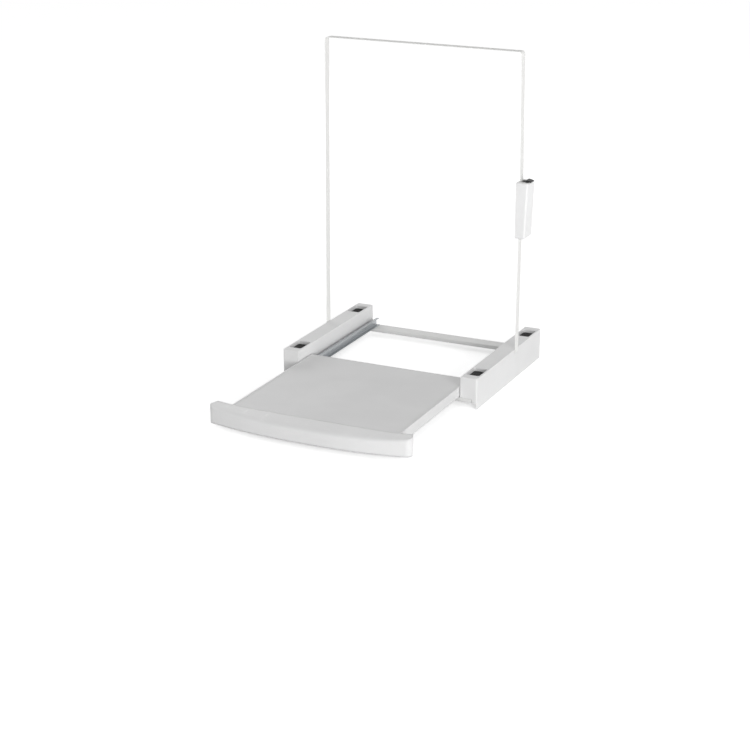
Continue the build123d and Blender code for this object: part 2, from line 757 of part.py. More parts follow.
bar_wrap = strap_bar_radius + loose_gap + strap_thick
bar_slope = tan(radians(bar_leg_angle))
bar_drop = bar_wrap / cos(radians(bar_leg_angle))
with BuildPart() as short_strap:
    with BuildSketch(Plane.XZ.offset(-(strap_y - strap_width / 2))):
        with BuildLine():
            FilletPolyline(
                (bar_x + bar_drop - bar_leg * bar_slope, bar_z - bar_leg),
                (bar_x + bar_drop + bar_wrap * bar_slope, bar_z + bar_wrap),
                (bar_x - bar_wrap, bar_z + bar_wrap),
                *reversed(anchor_points(1)),
                radius=[bar_wrap - running_gap, bar_wrap - running_gap] + anchor_radii[::-1],
            )
            offset(amount=strap_thick, side=Side.LEFT)
        make_face()
    extrude(amount=-strap_width)
finish(short_strap.part, "short_strap")

# Pins that the sewn ends go round
with BuildPart() as anchor_pin:
    with Locations(Location((anchor_x, strap_y, anchor_z), (90, 0, 0))):
        Cylinder(anchor_radius, anchor_length)
    chamfer(anchor_pin.edges(), anchor_radius / 5)
finish_pair(anchor_pin.part, "anchor_pin")

# Tensioner cover: a moulded shell, deeper at the top, with a window for the thumb lever
cover_top = tensioner_z + cover_length / 2
cover_bottom = tensioner_z - cover_length / 2
cover_screw_places = [
    (strap_face, strap_y + across * (cover_width / 2 - cover_boss_inset),
     tensioner_z + up * (cover_length / 2 - cover_boss_inset))
    for across in (-1, 1) for up in (-1, 1)
]
with BuildPart() as tensioner_cover:
    with BuildSketch(Plane.XZ.offset(-(strap_y - cover_width / 2))):
        with BuildLine():
            Polyline(
                (strap_face, cover_bottom), (strap_face + cover_depth_bottom, cover_bottom),
                (strap_face + cover_depth_top, cover_top), (strap_face, cover_top), close=True,
            )
        make_face()
    extrude(amount=-cover_width)
    rim = tensioner_cover.faces().sort_by(Axis.X)[0]
    fillet(tensioner_cover.edges() - rim.edges(), cover_round)
    offset(amount=-cover_wall, openings=tensioner_cover.faces().sort_by(Axis.X)[0])
    # Window for the lever and the strap at the top, slot for the strap at the bottom
    with Locations((strap_face + cover_window_start, strap_y, cover_top)):
        Box(
            cover_depth_top - cover_wall / 2 - 2 * cover_window_start, cover_window_width, 4 * cover_wall,
            align=(Align.MIN, Align.CENTER, Align.CENTER), mode=Mode.SUBTRACT,
        )
    with Locations((strap_face + cover_window_start, strap_y, cover_bottom)):
        Box(
            cover_slot_depth, cover_window_width, 4 * cover_wall,
            align=(Align.MIN, Align.CENTER, Align.CENTER), mode=Mode.SUBTRACT,
        )
    for place in cover_screw_places:
        with BuildSketch(Plane.YZ.offset(strap_face + back_plate_thick)):
            with Locations(place[1:]):
                Circle(cover_boss_radius)
        extrude(until=Until.NEXT)
        with Locations(Location(place, (0, 90, 0))):
            Cylinder(screw_radius, 2 * cover_screw_length, mode=Mode.SUBTRACT)
finish(tensioner_cover.part, "tensioner_cover")

# Back plate with countersunk holes for the cover's screws and the buckle's rivets
rivet_places = [
    (strap_face, strap_y, tensioner_z + buckle_top - rivet_drop / 3),
    (strap_face, strap_y, tensioner_z - rivet_drop),
]
with BuildPart() as back_plate:
    with BuildSketch(Plane.YZ.offset(strap_face)):
        with Locations((strap_y, tensioner_z)):
            RectangleRounded(
                cover_width - 2 * (cover_wall + loose_gap), cover_length - 2 * (cover_wall + loose_gap),
                cover_round - cover_wall,
            )
    extrude(amount=back_plate_thick)
    for place in cover_screw_places:
        with Locations(Location(place, (0, -90, 0))):
            CounterSinkHole(screw_radius + running_gap, screw_head_radius, counter_sink_angle=countersink)
    for place in rivet_places:
        with Locations(Location(place, (0, -90, 0))):
            CounterSinkHole(rivet_radius + running_gap, rivet_head_radius, counter_sink_angle=countersink)
finish(back_plate.part, "tensioner_back_plate")
finish(flat_screws(cover_screw_places, cover_screw_length, (0, 90, 0)), "cover_screws")

# Directions and places that the lever, its spring and the frame's lug share
lever_way = (sin(radians(lever_lean)), cos(radians(lever_lean)))
cam_start = strap_y - buckle_inside + cam_side_gap
cam_width = 2 * buckle_inside - cam_side_gap - spring_room
spring_start = strap_y + buckle_inside - (spring_room + spring_pitch * spring_coils) / 2


def on_lever(along, across):
    """Point in the lever's own directions, measured from the axle."""
    return (
        axle_x + along * lever_way[0] + across * lever_way[1],
        axle_z + along * lever_way[1] - across * lever_way[0],
    )


# Buckle frame: a folded channel that carries the axle and the strap bar
with BuildPart() as buckle_frame:
    with BuildSketch(Plane.XZ.offset(-(strap_y - buckle_inside - buckle_wall))):
        with BuildLine():
            Polyline(
                (strap_face + back_plate_thick, tensioner_z - buckle_bottom),
                (strap_face + cheek_low, tensioner_z - buckle_bottom),
                (strap_face + cheek_low, tensioner_z + cheek_slope_low),
                (strap_face + cheek_high, tensioner_z + cheek_slope_high),
                (strap_face + cheek_high, tensioner_z + buckle_top),
                (strap_face + back_plate_thick, tensioner_z + buckle_top), close=True,
            )
        make_face()
        fillet(vertices().group_by(Axis.X)[-1], cheek_round)
    extrude(amount=-2 * (buckle_inside + buckle_wall))
    with Locations((strap_face + back_plate_thick + buckle_wall, strap_y, tensioner_z)):
        Box(
            2 * cheek_high, 2 * buckle_inside, 4 * buckle_bottom,
            align=(Align.MIN, Align.CENTER, Align.CENTER), mode=Mode.SUBTRACT,
        )
    # A lug on one cheek stops the fixed leg of the spring
    lug_x, lug_z = on_lever(
        spring_lug_share * spring_leg, spring_coil_radius + spring_wire / 2 + spring_lug_radius
    )
    with Locations(Location((lug_x, strap_y + buckle_inside + buckle_wall / 2, lug_z), (90, 0, 0))):
        Cylinder(
            spring_lug_radius, buckle_wall / 2 + spring_room / 2,
            align=(Align.CENTER, Align.CENTER, Align.MIN),
        )
    with Locations(Location((axle_x, strap_y, axle_z), (90, 0, 0))):
        Cylinder(axle_radius, 4 * buckle_inside, mode=Mode.SUBTRACT)
    with Locations(Location((bar_x, strap_y, bar_z), (90, 0, 0))):
        Cylinder(strap_bar_radius, 4 * buckle_inside, mode=Mode.SUBTRACT)
    with Locations(*[Location(place, (0, 90, 0)) for place in rivet_places]):
        Cylinder(rivet_radius + running_gap, 4 * back_plate_thick, mode=Mode.SUBTRACT)
finish(buckle_frame.part, "buckle_frame")

with BuildPart() as rivets:
    with Locations(*[Location(place, (0, 90, 0)) for place in rivet_places]):
        Cylinder(
            rivet_radius, back_plate_thick + buckle_wall, align=(Align.CENTER, Align.CENTER, Align.MIN)
        )
        Cone(
            rivet_head_radius - running_gap, rivet_radius, rivet_head_radius - rivet_radius,
            align=(Align.CENTER, Align.CENTER, Align.MIN),
        )
finish(rivets.part, "buckle_rivets")

with BuildPart() as strap_bar:
    with Locations(Location((bar_x, strap_y, bar_z), (90, 0, 0))):
        Cylinder(strap_bar_radius, 2 * (buckle_inside + buckle_wall + axle_head_thick))
    chamfer(strap_bar.edges(), strap_bar_radius / 5)
finish(strap_bar.part, "strap_bar")

with BuildPart() as cam_axle:
    with Locations(Location((axle_x, strap_y, axle_z), (90, 0, 0))):
        Cylinder(axle_radius, 2 * (buckle_inside + buckle_wall + axle_head_thick))
        for side in (-1, 1):
            with Locations((0, 0, side * (buckle_inside + buckle_wall + axle_head_thick / 2))):
                Cylinder(axle_head_radius, axle_head_thick)
finish(cam_axle.part, "cam_axle")

# Cam lever: hub with a toothed nose that bites the strap, arm and thumb tab
with BuildPart() as cam_lever:
    teeth = [(axle_x, axle_z)]
    for tooth in range(cam_teeth):
        tip_radius = cam_nose_radius - tooth * cam_nose_fall
        for reach, turn in ((tip_radius - cam_tooth_depth, 0.5), (tip_radius, 0)):
            angle = radians(cam_nose_angle - (tooth - turn) * cam_tooth_step)
            teeth.append((axle_x + reach * cos(angle), axle_z + reach * sin(angle)))
    with BuildSketch(Plane.XZ.offset(-cam_start)):
        with Locations((axle_x, axle_z)):
            Circle(cam_hub_radius)
        with BuildLine():
            Polyline(*teeth, close=True)
        make_face()
    extrude(amount=-cam_width)
    # Arm, and a thumb tab that curves over the cover's edge about the same axle
    with BuildSketch(Plane.XZ.offset(-(strap_y - lever_width / 2))):
        with BuildLine():
            Polyline(
                on_lever(cam_hub_radius / 2, -lever_thick / 2),
                on_lever(tab_radius + tab_thick / 2, -lever_thick / 2),
                on_lever(tab_radius + tab_thick / 2, lever_thick / 2),
                on_lever(cam_hub_radius / 2, lever_thick / 2), close=True,
            )
        make_face()
        with BuildLine():
            inner = CenterArc((axle_x, axle_z), tab_radius, tab_from, tab_to - tab_from)
            outer = CenterArc((axle_x, axle_z), tab_radius + tab_thick, tab_from, tab_to - tab_from)
            Line(inner @ 0, outer @ 0)
            Line(inner @ 1, outer @ 1)
        make_face()
    extrude(amount=-lever_width)
    tab_tip = cam_lever.faces().group_by(Axis.X)[-1].edges().filter_by(Axis.Y)
    fillet(tab_tip, tab_thick / 3)
    # Room for the spring beside the hub
    with Locations(Location((axle_x, cam_start + cam_width, axle_z), (-90, 0, 0))):
        Cylinder(
            cam_hub_radius, lever_width, align=(Align.CENTER, Align.CENTER, Align.MIN),
            mode=Mode.SUBTRACT,
        )
    with Locations(Location((axle_x, strap_y, axle_z), (90, 0, 0))):
        Cylinder(axle_radius + running_gap, 4 * buckle_inside, mode=Mode.SUBTRACT)
finish(cam_lever.part, "cam_lever")

# Spring that presses the cam against the strap: wound on the axle, with a straight leg at each end
coil = Helix(spring_pitch, spring_pitch * spring_coils, spring_coil_radius, lefthand=True)
first_leg = Line(coil @ 0 - spring_leg * (coil % 0), coil @ 0)
last_leg = Line(coil @ 1, coil @ 1 + spring_leg * (coil % 1))
spring_path = Wire([first_leg.edge(), coil.edge(), last_leg.edge()])
spring_end = Plane(origin=first_leg @ 0, z_dir=first_leg % 0)
wire = sweep(spring_end * Circle(spring_wire / 2), path=spring_path)
spring_plane = Plane(
    origin=(axle_x, spring_start, axle_z), x_dir=(-lever_way[1], 0, lever_way[0]), z_dir=(0, 1, 0)
)
finish(spring_plane * wire, "cam_spring")
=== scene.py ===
"""Looks of the stacking kit: moulded white plastic, woven strap, plated rails and rubber."""

import json
from math import atan2, cos, pi, radians, sin, tan

import bmesh
import bpy
from mathutils import Matrix, Vector


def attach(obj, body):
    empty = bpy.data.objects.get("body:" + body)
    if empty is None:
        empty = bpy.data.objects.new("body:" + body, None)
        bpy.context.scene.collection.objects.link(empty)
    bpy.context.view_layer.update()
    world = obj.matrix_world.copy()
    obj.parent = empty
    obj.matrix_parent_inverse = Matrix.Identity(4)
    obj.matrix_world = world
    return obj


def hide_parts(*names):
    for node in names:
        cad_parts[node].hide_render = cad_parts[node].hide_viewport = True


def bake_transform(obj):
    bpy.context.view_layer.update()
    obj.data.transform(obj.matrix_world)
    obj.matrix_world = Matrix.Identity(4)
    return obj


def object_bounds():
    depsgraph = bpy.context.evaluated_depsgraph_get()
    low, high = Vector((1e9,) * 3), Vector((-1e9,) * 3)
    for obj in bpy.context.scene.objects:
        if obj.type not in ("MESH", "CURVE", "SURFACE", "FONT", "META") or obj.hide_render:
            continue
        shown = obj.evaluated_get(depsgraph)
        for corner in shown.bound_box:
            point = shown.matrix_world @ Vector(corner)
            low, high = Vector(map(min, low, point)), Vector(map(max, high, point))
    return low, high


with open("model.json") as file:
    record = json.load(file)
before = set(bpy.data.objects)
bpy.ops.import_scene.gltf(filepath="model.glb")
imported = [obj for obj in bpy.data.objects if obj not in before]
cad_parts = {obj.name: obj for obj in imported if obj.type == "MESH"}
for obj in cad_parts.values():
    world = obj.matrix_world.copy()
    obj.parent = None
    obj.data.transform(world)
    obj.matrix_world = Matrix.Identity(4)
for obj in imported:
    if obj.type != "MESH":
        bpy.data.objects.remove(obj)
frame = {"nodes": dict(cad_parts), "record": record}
cad_box = [list(corner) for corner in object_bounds()]
mm, metre_mm = 0.001, 1000
quarter = pi / 2

# Lengths are in metres, as in the construction, apart from those whose names end in _mm.

# Strap: its size, the planes that its runs lie in, and its crown
strap_width, strap_thick = 0.025, 0.0014
strap_y = 0.273
strap_face, strap_outside, strap_in_buckle = 0.2983, 0.3013, 0.3031
strap_crown, strap_crown_radius = 0.9253, 0.008
# Sewn eyes round the anchor pins, drawn closed
anchor_x, anchor_z, wrap_radius = 0.284, 0.060, 0.0047
sewn_leg, sewn_angle, slot_radius = 0.011, radians(46), 0.0008
# Slight bend above the tensioner, and the free tail that turns up inside it
bend_z, bend_radius = 0.573, 0.4
tail_bottom, tail_turn, tail_length = 0.449, 0.008, 0.036
# Sewn eye round the tensioner's bar
bar_x, bar_z, bar_leg, bar_angle = 0.3078, 0.441, 0.014, radians(36.5)

# How finely the strap is drawn: along its arcs and runs, where a step under no_length is left
# out, and across it in shares of half its width, where the last share thins to the selvedge
arc_step, run_step, no_length = radians(9), 0.012, 1e-6
width_stops = (
    -1, -0.985, -0.95, -0.9, -0.75, -0.5, -0.25, 0, 0.25, 0.5, 0.75, 0.9, 0.95, 0.985, 1,
)
selvedge_from, selvedge_share = 0.93, 0.07

# Stitches through the sewn ends, in rows at these distances from the end
stitch_length, stitch_pitch, stitch_arch, stitch_radius = 0.0021, 0.0026, 0.0003, 0.00025
stitch_rows = (0.0012, 0.0034)
stitch_spans, stitch_sides = 8, 6

# Distance within which the spring wire's loose points are welded together
merge_distance = 0.00001

# Edges sharper than these stay sharp
spring_sharp, piece_sharp = radians(50), radians(35)

# Screws: head, thread and cross recess
head_radius, head_height, countersunk_depth = 0.0035, 0.002, 0.0015
thread_crest, thread_root, thread_pitch, rows_in_pitch = 0.00195, 0.0015, 0.0012, 8
recess_arm, recess_half, recess_depth, recess_taper = 0.0019, 0.00045, 0.0012, 0.45
recess_lead = 0.0002
round_steps = 24
# A crest fills the middle half of its pitch, and the last pitches thin down to the tip's core
crest_middle, crest_slope = 0.5, 4
fading_pitches, tip_core, tip_swell = 2, 0.55, 0.45
# Outlines of the heads as (radius, height), from the recessed face to the shank
pan_head = (
    (0.0026, -head_height), (0.0031, -0.00185), (0.0034, -0.0015), (head_radius, -0.001),
    (head_radius, -0.0001), (0.0034, 0.0), (thread_root, 0.0),
)
flat_head = (
    (0.0033, 0.00002), (0.00345, 0.0001), (thread_crest, countersunk_depth),
    (thread_root, 0.0016),
)

# Places and lengths of the screws, as in the construction
crossbar_screw_x, crossbar_screw_z, crossbar_screw_length = 0.270, 0.0025, 0.0255
crossbar_screw_ys = (0, 0.456)
frame_rail_screw_x, frame_rail_screw_z, frame_rail_screw_length = 0.2315, 0.0154, 0.006
frame_rail_screw_ys = (0.008, 0.464)
shelf_rail_screw_x, shelf_rail_screw_z, shelf_rail_screw_length = 0.225, 0.0275, 0.008
shelf_rail_screw_start, shelf_rail_screw_pitch, shelf_rail_screw_count = -0.3605, 0.105, 4
fascia_screw_xs = (-0.186, -0.062, 0.062, 0.186)
fascia_screw_y, fascia_screw_z, fascia_screw_length = -0.4105, 0.029, 0.014
cover_middle_z, cover_screw_aside, cover_screw_up = 0.487, 0.020, 0.071
cover_screw_length = 0.014

# Hard finishes: where the clouds pass from one tone to the other, how the grain spreads the
# gloss, and how far an edge has to turn before it shows its full wear
tone_stops, cloud_detail, grain_detail = (0.35, 0.65), 2.0, 3.0
grain_low, grain_high = 0.3, 0.7
edge_samples, edge_unworn, edge_worn, most_wear = 6, 0.99, 0.8, 0.7

# Webbing: about 20 warp ribs over its 25 mm, and a pick every 1.9 mm. The real fibres are about
# 0.03 mm thick, too fine to show, so the fuzz is drawn as coarse as it needs to show.
# The weave's height also sets its colour, as painted shade: darker in the hollows, lighter on the
# crowns.
rib_pitch_mm, pick_pitch_mm, fuzz_mm = 1.25, 1.9, 0.4
rib_share, fuzz_share = 0.6, 0.5
weave_low, weave_high, weave_relief_mm = -1.2, 1.6, 0.1

# Studio: a floor that is white only to the eye, an even sky, and softboxes as
# (name, place, side, watts) that all point at one spot
floor_reach, floor_colour, floor_roughness, floor_glow = 14, "EEEEEE", 0.5, 0.55
sky_light, sky_seen, white = 0.5, 1.0, (1, 1, 1, 1)
softbox_aim = Vector((0, 0.1, 0.25))
softboxes = (
    ("right_softbox", (3.95, -3.2, 1.1), 2.2, 155),
    ("rear_softbox", (-3.6, 2.6, 0.9), 2.2, 70),
)

# Camera: how far it looks down and how far it stands round to the right, in degrees
camera_place, camera_down, camera_round = (2.055, -4.357, 1.749), 19.58, 25.44
camera_lens_mm, camera_sensor_mm = 87.1, 36


# Helpers

def linear(hex_colour):
    """sRGB hex to the linear colour that a shader socket takes."""
    channels = [int(hex_colour[i:i + 2], 16) / 255 for i in (0, 2, 4)]
    return [c / 12.92 if c <= 0.04045 else ((c + 0.055) / 1.055) ** 2.4 for c in channels] + [1.0]


def add(tree, kind, settings=None, **values):
    """Adds a node with its settings, and fills or links its inputs by name or, as _0, by number."""
    made = tree.nodes.new(kind)
    for key, value in (settings or {}).items():
        setattr(made, key, value)
    for key, value in values.items():
        socket = made.inputs[int(key[1:]) if key[1:].isdigit() else key.replace("_", " ")]
        if isinstance(value, bpy.types.NodeSocket):
            tree.links.new(value, socket)
        else:
            socket.default_value = value
    return made


def new_material(name):
    """A material and its empty node tree."""
    material = bpy.data.materials.new(name)
    material.use_nodes = True
    material.node_tree.nodes.clear()
    return material, material.node_tree


def keep(data, name):
    """New object in the scene for a mesh, lamp or camera."""
    made = bpy.data.objects.new(name, data)
    bpy.context.scene.collection.objects.link(made)
    return made


def evaluated_mesh(piece):
    """Plain mesh of a piece as its modifiers leave it."""
    bpy.context.view_layer.update()
    return bpy.data.meshes.new_from_object(
        piece.evaluated_get(bpy.context.evaluated_depsgraph_get()))


def lofted(name, rings):
    """Closed smooth mesh through rings of points."""
    shape = bmesh.new()
    rings = [[shape.verts.new(point) for point in ring] for ring in rings]
    for low, high in zip(rings, rings[1:]):
        for j in range(len(low)):
            k = (j + 1) % len(low)
            shape.faces.new((low[j], low[k], high[k], high[j]))
    shape.faces.new(rings[0][::-1])
    shape.faces.new(rings[-1])
    bmesh.ops.recalc_face_normals(shape, faces=shape.faces)
    for face in shape.faces:
        face.smooth = True
    mesh = bpy.data.meshes.new(name)
    shape.to_mesh(mesh)
    shape.free()
    return keep(mesh, name)


# Finishes

def finish(name, tones, worn, cloud_mm, grain_mm, stretch, roughness, depth_mm, edge_mm,
           **constants):
    """A hard material: two close tones in slow clouds, grain in gloss and relief, worn edges."""
    material, tree = new_material(name)
    place = add(tree, "ShaderNodeTexCoord").outputs["Object"]
    cloud = add(tree, "ShaderNodeTexNoise", Vector=place, Scale=metre_mm / cloud_mm,
                Detail=cloud_detail)
    tone = add(tree, "ShaderNodeValToRGB", Fac=cloud.outputs["Fac"])
    for stop, place_on_ramp, hex_colour in zip(tone.color_ramp.elements, tone_stops, tones):
        stop.position, stop.color = place_on_ramp, linear(hex_colour)
    along = add(tree, "ShaderNodeMapping", Vector=place, Scale=stretch)
    grain = add(tree, "ShaderNodeTexNoise", Vector=along.outputs[0], Scale=metre_mm / grain_mm,
                Detail=grain_detail)
    gloss = add(tree, "ShaderNodeMapRange", Value=grain.outputs["Fac"], From_Min=grain_low,
                From_Max=grain_high, To_Min=roughness[0], To_Max=roughness[1])
    edge = add(tree, "ShaderNodeBevel", {"samples": edge_samples}, Radius=edge_mm * mm)
    flat = add(tree, "ShaderNodeNewGeometry").outputs["Normal"]
    turned = add(tree, "ShaderNodeVectorMath", {"operation": "DOT_PRODUCT"},
                 _0=edge.outputs[0], _1=flat)
    wear = add(tree, "ShaderNodeMapRange", Value=turned.outputs["Value"], From_Min=edge_unworn,
               From_Max=edge_worn, To_Min=0.0, To_Max=most_wear)
    colour = add(tree, "ShaderNodeMix", {"data_type": "RGBA"}, _0=wear.outputs[0],
                 _6=tone.outputs["Color"], _7=linear(worn))
    bump = add(tree, "ShaderNodeBump", Height=grain.outputs["Fac"], Distance=depth_mm * mm,
               Normal=edge.outputs[0])
    shader = add(tree, "ShaderNodeBsdfPrincipled", Base_Color=colour.outputs[2],
                 Roughness=gloss.outputs[0], Normal=bump.outputs[0], **constants)
    add(tree, "ShaderNodeOutputMaterial", Surface=shader.outputs[0])
    return material


def webbing():
    """Woven polyester webbing: warp ribs along the strap, picks across them, a soft sheen, and
    painted shade in the weave's hollows.
    """
    material, tree = new_material("woven_polyester_webbing_white")
    place = add(tree, "ShaderNodeTexCoord").outputs["Object"]
    strap_map = add(tree, "ShaderNodeUVMap", {"uv_map": "strap"}).outputs[0]
    cloth = add(tree, "ShaderNodeSeparateXYZ", Vector=strap_map)
    waves = []
    for source, pitch_mm in ((cloth.outputs["X"], pick_pitch_mm),
                             (cloth.outputs["Y"], rib_pitch_mm)):
        turns = add(tree, "ShaderNodeMath", {"operation": "MULTIPLY"}, _0=source,
                    _1=2 * pi * metre_mm / pitch_mm)
        wave = add(tree, "ShaderNodeMath", {"operation": "SINE"}, _0=turns.outputs[0])
        waves.append(wave.outputs[0])
    crossing = add(tree, "ShaderNodeMath", {"operation": "MULTIPLY"}, _0=waves[0], _1=waves[1])
    ribbed = add(tree, "ShaderNodeMath", {"operation": "MULTIPLY_ADD"}, _0=waves[1],
                 _1=rib_share, _2=crossing.outputs[0])
    fuzz = add(tree, "ShaderNodeTexNoise", Vector=place, Scale=metre_mm / fuzz_mm,
               Detail=grain_detail)
    height = add(tree, "ShaderNodeMath", {"operation": "MULTIPLY_ADD"}, _0=fuzz.outputs["Fac"],
                 _1=fuzz_share, _2=ribbed.outputs[0])
    depth = add(tree, "ShaderNodeMapRange", Value=height.outputs[0], From_Min=weave_low,
                From_Max=weave_high)
    # Painted shade: the weave's hollows take the darker tone and its crowns the lighter one, with
    # the fuzz's random tone mixed in.
    colour = add(tree, "ShaderNodeMix", {"data_type": "RGBA"}, _0=depth.outputs[0],
                 _6=linear("EDEDEA"), _7=linear("FCFCFB"))
    bump = add(tree, "ShaderNodeBump", Height=height.outputs[0], Distance=weave_relief_mm * mm)
    shader = add(tree, "ShaderNodeBsdfPrincipled", Base_Color=colour.outputs[2], Roughness=0.78,
                 Sheen_Weight=0.5, Sheen_Roughness=0.4, Normal=bump.outputs[0])
    add(tree, "ShaderNodeOutputMaterial", Surface=shader.outputs[0])
    return material


# How a grain is stretched: not at all, far along Y as the rolls draw it, or four times along X
even, drawn, tooled = (1, 1, 1), (1, 0.03, 1), (0.25, 1, 1)

# Etch, draw marks, tool marks and fibres are really 0.05 to 0.3 mm wide, too fine to show, so
# each grain is drawn as coarse as it needs to show. Only orange peel has its real size.
finishes = {
    # Injection-moulded ABS: the mould's etched satin grain on the beams
    "white_moulding": finish(
        "moulded_abs_satin_white", tones=("E8E8E8", "E5E5E5"), worn="EEEEEE", cloud_mm=90,
        grain_mm=1.2, stretch=even, roughness=(0.4, 0.54), depth_mm=0.03, edge_mm=0.8, IOR=1.53),
    # The same plastic from a polished mould, which leaves the fascia a soft gloss
    "white_fascia": finish(
        "moulded_abs_smooth_white", tones=("E9E9E9", "E6E6E6"), worn="EEEEEE", cloud_mm=120,
        grain_mm=1.4, stretch=even, roughness=(0.28, 0.36), depth_mm=0.006, edge_mm=8.0,
        IOR=1.53, Coat_Weight=0.12, Coat_Roughness=0.15),
    # A purer white on the tensioner's cover, satin and even
    "white_cover": finish(
        "moulded_abs_cover_white", tones=("F3F3F3", "F0F0F0"), worn="F7F7F7", cloud_mm=70,
        grain_mm=1.0, stretch=even, roughness=(0.34, 0.42), depth_mm=0.010, edge_mm=0.5,
        IOR=1.53),
    # Steel tube under baked powder coat, which draws up into an orange peel of about 2 mm
    "coated_tube": finish(
        "powder_coated_steel_white", tones=("E7E7E6", "E3E3E2"), worn="D9D9D8", cloud_mm=45,
        grain_mm=2.2, stretch=even, roughness=(0.32, 0.42), depth_mm=0.05, edge_mm=0.4),
    # Zinc-plated sheet with lengthwise draw marks from the rolls and brighter folds
    "zinc_steel": finish(
        "zinc_plated_rolled_steel", tones=("B6B9BB", "B0B3B6"), worn="CDD0D2", cloud_mm=9,
        grain_mm=0.9, stretch=drawn, roughness=(0.32, 0.46), depth_mm=0.008, edge_mm=0.3,
        Metallic=1.0),
    # Turned steel, bright, with fine tool marks
    "steel_pins": finish(
        "turned_steel_pins", tones=("B4B5B7", "A3A4A6"), worn="CACBCD", cloud_mm=6,
        grain_mm=0.35, stretch=even, roughness=(0.22, 0.36), depth_mm=0.006, edge_mm=0.2,
        Metallic=1.0),
    # Headed and plated screws, a little cloudy
    "screws": finish(
        "zinc_plated_screws", tones=("C0C1C2", "AAABAD"), worn="D2D3D4", cloud_mm=3,
        grain_mm=0.4, stretch=even, roughness=(0.26, 0.42), depth_mm=0.006, edge_mm=0.15,
        Metallic=1.0),
    # Oiled spring wire, darker than the plating
    "spring_steel": finish(
        "oiled_spring_wire", tones=("8E8E90", "78787A"), worn="9E9EA0", cloud_mm=5,
        grain_mm=0.3, stretch=tooled, roughness=(0.24, 0.36), depth_mm=0.005, edge_mm=0.1,
        Metallic=1.0),
    # Moulded rubber: dull, a little dusty
    "rubber": finish(
        "moulded_epdm_rubber_black", tones=("1E1E1F", "2A2A2B"), worn="343435", cloud_mm=9,
        grain_mm=0.7, stretch=even, roughness=(0.72, 0.88), depth_mm=0.04, edge_mm=0.3),
    # Machined acetal: milky and waxy, with light carried under its skin
    "roller_plastic": finish(
        "machined_acetal_milky", tones=("E6E6E1", "DEDED8"), worn="EDEDE8", cloud_mm=8,
        grain_mm=0.5, stretch=tooled, roughness=(0.3, 0.42), depth_mm=0.01, edge_mm=0.3,
        Subsurface_Weight=0.15, Subsurface_Scale=0.002),
    # Glass-filled nylon: near black, scuffed grey where the thumb rubs it
    "black_plastic": finish(
        "glass_filled_nylon_black", tones=("131314", "1C1C1D"), worn="2C2C2E", cloud_mm=7,
        grain_mm=0.6, stretch=even, roughness=(0.4, 0.56), depth_mm=0.03, edge_mm=0.5),
    "webbing": webbing(),
}
# The deck's plate has a coarser grain than the beams, which hides scratches and takes off gloss.
# Its tones are a little greyer than the beams' white: painted shade, for a top that gets less light
# than the fronts and sides.
deck_finish = finish(
    "moulded_abs_grained_deck_white", tones=("E3E3E3", "DFDFDF"), worn="E9E9E9", cloud_mm=120,
    grain_mm=1.8, stretch=even, roughness=(0.48, 0.62), depth_mm=0.07, edge_mm=4.0, IOR=1.53)
# Bonded polyester thread: its coating holds the twist together with a dull shine
thread_finish = finish(
    "bonded_polyester_thread", tones=("E2E2DE", "F2F2EF"), worn="F6F6F4", cloud_mm=2,
    grain_mm=0.3, stretch=even, roughness=(0.55, 0.7), depth_mm=0.05, edge_mm=0.1)


def dress_cad_nodes():
    """Gives each CAD node the finish of its material slot, and the deck its coarser grain and
    greyer tones of painted shade.
    """
    for part in frame["record"]["subparts"]:
        node = part["node"]
        mesh = frame["nodes"][node].data
        mesh.materials.clear()
        mesh.materials.append(
            deck_finish if node == "shelf_deck" else finishes[part["material_slot"]])


# Strap

def rounded(corners, radii):
    """Points along a strap's runs, with arcs at the corners in between."""
    line = [Vector(corners[0])]
    for before, corner, after, radius in zip(corners, corners[1:], corners[2:], radii):
        corner = Vector(corner)
        back = (Vector(before) - corner).normalized()
        ahead = (Vector(after) - corner).normalized()
        turn = pi - back.angle(ahead)
        reach = radius * tan(turn / 2)
        centre = corner + (back + ahead).normalized() * (radius / cos(turn / 2))
        first, last = corner + back * reach - centre, corner + ahead * reach - centre
        steps = max(2, round(turn / arc_step))
        start = atan2(first.y, first.x)
        sweep = (atan2(last.y, last.x) - start + pi) % (2 * pi) - pi
        for step in range(steps + 1):
            angle = start + sweep * step / steps
            line.append(centre + radius * Vector((cos(angle), sin(angle))))
    line.append(Vector(corners[-1]))
    return line


def divided(line):
    """The same line with its long runs divided, so that the weave stays even."""
    out = [line[0]]
    for start, end in zip(line, line[1:]):
        if (end - start).length > no_length:
            parts = max(1, round((end - start).length / run_step))
            out += [start.lerp(end, (i + 1) / parts) for i in range(parts)]
    return out


def anchor_corners(side):
    """Corners from the sewn end, round the anchor pin, to the slot in the side member."""
    drop, slope = wrap_radius / cos(sewn_angle), tan(sewn_angle)
    return [
        (side * (anchor_x + sewn_leg), anchor_z - drop + sewn_leg * slope),
        (side * (anchor_x - wrap_radius), anchor_z - drop - wrap_radius * slope),
        (side * (anchor_x - wrap_radius), anchor_z + wrap_radius),
        (side * strap_outside, anchor_z + wrap_radius),
    ]


# Long strap: from the left anchor pin, over the crown and down through the cam to its tail
anchor_radii = [wrap_radius, wrap_radius, slot_radius]
tail_x = strap_in_buckle + 2 * tail_turn
long_corners = anchor_corners(-1) + [
    (-strap_face, strap_crown), (strap_face, strap_crown), (strap_in_buckle, bend_z),
    (strap_in_buckle, tail_bottom), (tail_x, tail_bottom), (tail_x, tail_bottom + tail_length),
]
long_radii = anchor_radii + [strap_crown_radius] * 2 + [bend_radius] + [tail_turn] * 2

